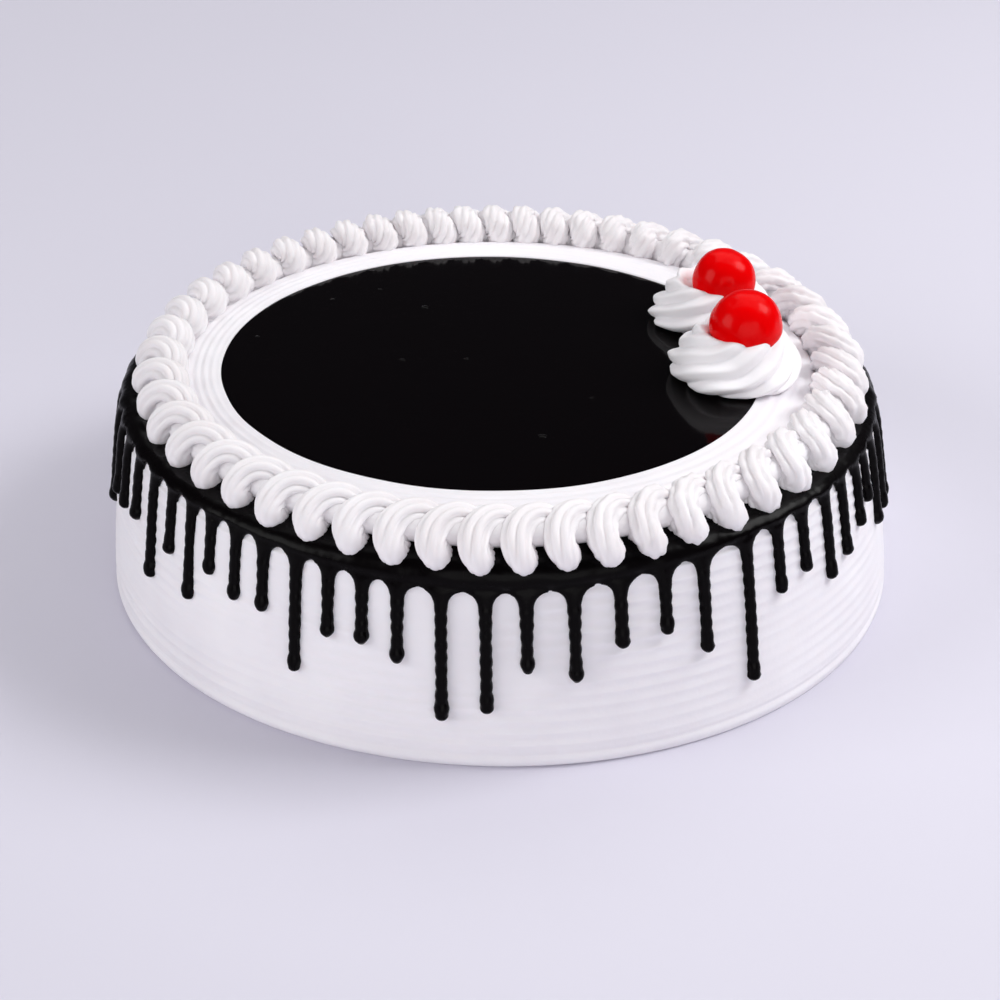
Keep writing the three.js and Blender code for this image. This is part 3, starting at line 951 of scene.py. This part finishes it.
class CAKE_OT_rosettes(bpy.types.Operator):
    """Makes the two rosettes, each a mound of cream from a star nozzle that was turned as it rose"""

    bl_idname = "cake.rosettes"
    bl_label = "Rosettes"

    def execute(self, context):
        settings = context.scene.cake
        # The rosettes' cream is paler than the wall's as painted light
        cream = whipped_cream(settings, "whipped_cream_rosette", from_hex("#F7F3F8"), 0.3)
        for number, name in enumerate(("front", "back")):
            low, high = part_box("rosette_" + name)
            middle = (low + high) / 2
            foot = (high.x - low.x) / 2
            tall = high.z - low.z
            line = curve_through(ROSETTE_PROFILE, 5)
            made = spun([(max(0, point.x) * foot, point.y * tall) for point in line], 224)
            for vert in made.verts:
                x, y, z = vert.co
                radius = math.hypot(x, y)
                angle = math.atan2(y, x)
                share = z / tall
                spot = Vector((x, y, z)) / ROSETTE_LUMP_SIZE
                bend = ROSETTE_BEND * noise.noise(spot + Vector((0, number * 7, 0)))
                turned = angle - ROSETTE_TWIST * share + number * ROSETTE_TURN_APART + bend
                phase = ROSETTE_RIDGES * turned
                reach = min(1, radius / (ROSETTE_SMOOTH_MIDDLE * foot))
                groove = 1 - abs(math.cos(phase / 2)) ** ROSETTE_GROOVE_SHARPNESS
                fine = ROSETTE_FINE_GROOVE * math.cos(phase * 3)
                lump = ROSETTE_LUMP * noise.noise(spot + Vector((number * 5, 0, 0)))
                grow = 1 + (ROSETTE_SWELL - ROSETTE_GROOVE * groove + fine) * reach + lump
                rise = ROSETTE_RIDGE_RISE * math.cos(phase) + ROSETTE_LUMP_RISE * lump
                vert.co.x = x * grow + middle.x
                vert.co.y = y * grow + middle.y
                vert.co.z = z + low.z + rise * reach * min(1, share * 2)
            belongs(finished(made, "rosette_swirl_" + name, cream), "rosette_cream", "rosette_" + name)
        return {"FINISHED"}


# Dents in a cherry's skin: the way that each faces, their width and their depth
CHERRY_DENTS = (Vector((0.15, -0.75, -0.45)), Vector((-0.45, -0.3, 0.8)), Vector((0.5, 0.5, 0.7)))
CHERRY_DENT_WIDTH = 0.17
CHERRY_DENT_DEPTH = 0.022
CHERRY_LUMP = 0.03
CHERRY_FINE_LUMP = 0.008
CHERRY_SHRINK = 0.012


class CAKE_OT_cherries(bpy.types.Operator):
    """Makes the two glace cherries"""

    bl_idname = "cake.cherries"
    bl_label = "Glace cherries"

    def execute(self, context):
        settings = context.scene.cake
        skin = glace_cherry(settings)
        for number, name in enumerate(("front", "back")):
            low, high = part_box("cherry_" + name)
            centre = (low + high) / 2
            size = (high.x - low.x) / 2
            made = bmesh.new()
            bmesh.ops.create_icosphere(made, subdivisions=6, radius=size)
            for vert in made.verts:
                way = vert.co.normalized()
                lump = CHERRY_LUMP * noise.noise(way * 1.4 + Vector((number * 9, 0, 0)))
                lump += CHERRY_FINE_LUMP * noise.noise(way * 4 + Vector((0, number * 9, 0)))
                for dent in CHERRY_DENTS:
                    near = (way - dent.normalized()).length / CHERRY_DENT_WIDTH
                    lump -= CHERRY_DENT_DEPTH * math.exp(-near * near)
                vert.co = centre + way * (size * (1 + lump - CHERRY_SHRINK))
            belongs(finished(made, "glace_cherry_" + name, skin), "cherry", "cherry_" + name)
        return {"FINISHED"}


# The studio's soft lamps: name, place, width and height, and power
LAMPS = (
    ("soft_light_above", (0.2, 0.95, 2.15), (3.0, 2.4), 30),
    ("soft_light_right", (0.95, 0.08, 0.95), (0.6, 0.6), 11),
    ("soft_light_front", (0.4, -2.4, 0.7), (2.4, 1.4), 21),
    ("soft_light_left", (-2.1, -0.9, 1.1), (1.6, 1.4), 28),
)
LAMP_TARGET = Vector((0, 0, 0.04))
AIR_COLOUR = (0.9, 0.88, 1)
AIR_STRENGTH = 0.08
FLOOR_SIZE = 12.0


def add_light(name, place, size, power):
    """A soft rectangular lamp that faces the cake."""
    lamp = bpy.data.lights.new(name, "AREA")
    lamp.shape = "RECTANGLE"
    lamp.size, lamp.size_y = size
    lamp.energy = power
    holder = bpy.data.objects.new(name, lamp)
    bpy.context.scene.collection.objects.link(holder)
    holder.location = place
    holder.rotation_euler = (LAMP_TARGET - Vector(place)).to_track_quat("-Z", "Y").to_euler()


class CAKE_OT_stage(bpy.types.Operator):
    """Makes the pale floor, the soft light and the camera at the photograph's angle"""

    bl_idname = "cake.stage"
    bl_label = "Stage"

    def execute(self, context):
        scene = context.scene
        settings = scene.cake
        made = bmesh.new()
        bmesh.ops.create_grid(made, x_segments=2, y_segments=2, size=FLOOR_SIZE)
        finished(made, "floor", pale_floor(settings))
        for lamp in LAMPS:
            add_light(*lamp)
        world = bpy.data.worlds.new("studio_air")
        world.use_nodes = True
        background = world.node_tree.nodes["Background"]
        background.inputs["Color"].default_value = opaque(AIR_COLOUR)
        background.inputs["Strength"].default_value = AIR_STRENGTH
        scene.world = world
        scene.view_settings.view_transform = "Standard"
        camera = bpy.data.cameras.new("photo_camera")
        camera.sensor_width = SENSOR_WIDTH
        camera.lens = CAMERA_FOCAL_PIXELS * SENSOR_WIDTH / PHOTO_SIZE
        holder = bpy.data.objects.new("photo_camera", camera)
        scene.collection.objects.link(holder)
        away = Vector((0, -math.cos(CAMERA_PITCH), math.sin(CAMERA_PITCH)))
        tilt = Matrix.Rotation(QUARTER_TURN - CAMERA_PITCH, 4, "X")
        view = tilt @ Matrix.Rotation(CAMERA_ROLL, 4, "Z")
        holder.matrix_world = Matrix.Translation(CAMERA_TARGET + away * CAMERA_DISTANCE) @ view
        scene.camera = holder
        return {"FINISHED"}


class CAKE_PT_panel(bpy.types.Panel):
    """Lists the cake's sizes and colours and the operators that make its pieces"""

    bl_label = "Black Forest Cake"
    bl_idname = "CAKE_PT_panel"
    bl_space_type = "VIEW_3D"
    bl_region_type = "UI"
    bl_category = "Cake"

    def draw(self, context):
        settings = context.scene.cake
        for field in settings.bl_rna.properties.keys():
            if field not in ("rna_type", "name"):
                self.layout.prop(settings, field)
        for operator in OPERATORS:
            self.layout.operator(operator.bl_idname)


OPERATORS = (
    CAKE_OT_stage, CAKE_OT_coating, CAKE_OT_glaze, CAKE_OT_drips, CAKE_OT_rope, CAKE_OT_rosettes,
    CAKE_OT_cherries,
)
CLASSES = (CakeSettings, *OPERATORS, CAKE_PT_panel)


def register():
    """Adds the settings, the operators and the panel."""
    for part in CLASSES:
        bpy.utils.register_class(part)
    bpy.types.Scene.cake = PointerProperty(type=CakeSettings)


def unregister():
    """Takes them away again."""
    del bpy.types.Scene.cake
    for part in reversed(CLASSES):
        bpy.utils.unregister_class(part)


def main():
    """Makes the stage and every piece."""
    register()
    bpy.ops.cake.stage()
    bpy.ops.cake.coating()
    bpy.ops.cake.glaze()
    bpy.ops.cake.drips()
    bpy.ops.cake.rope()
    bpy.ops.cake.rosettes()
    bpy.ops.cake.cherries()


if __name__ == "__main__":
    main()
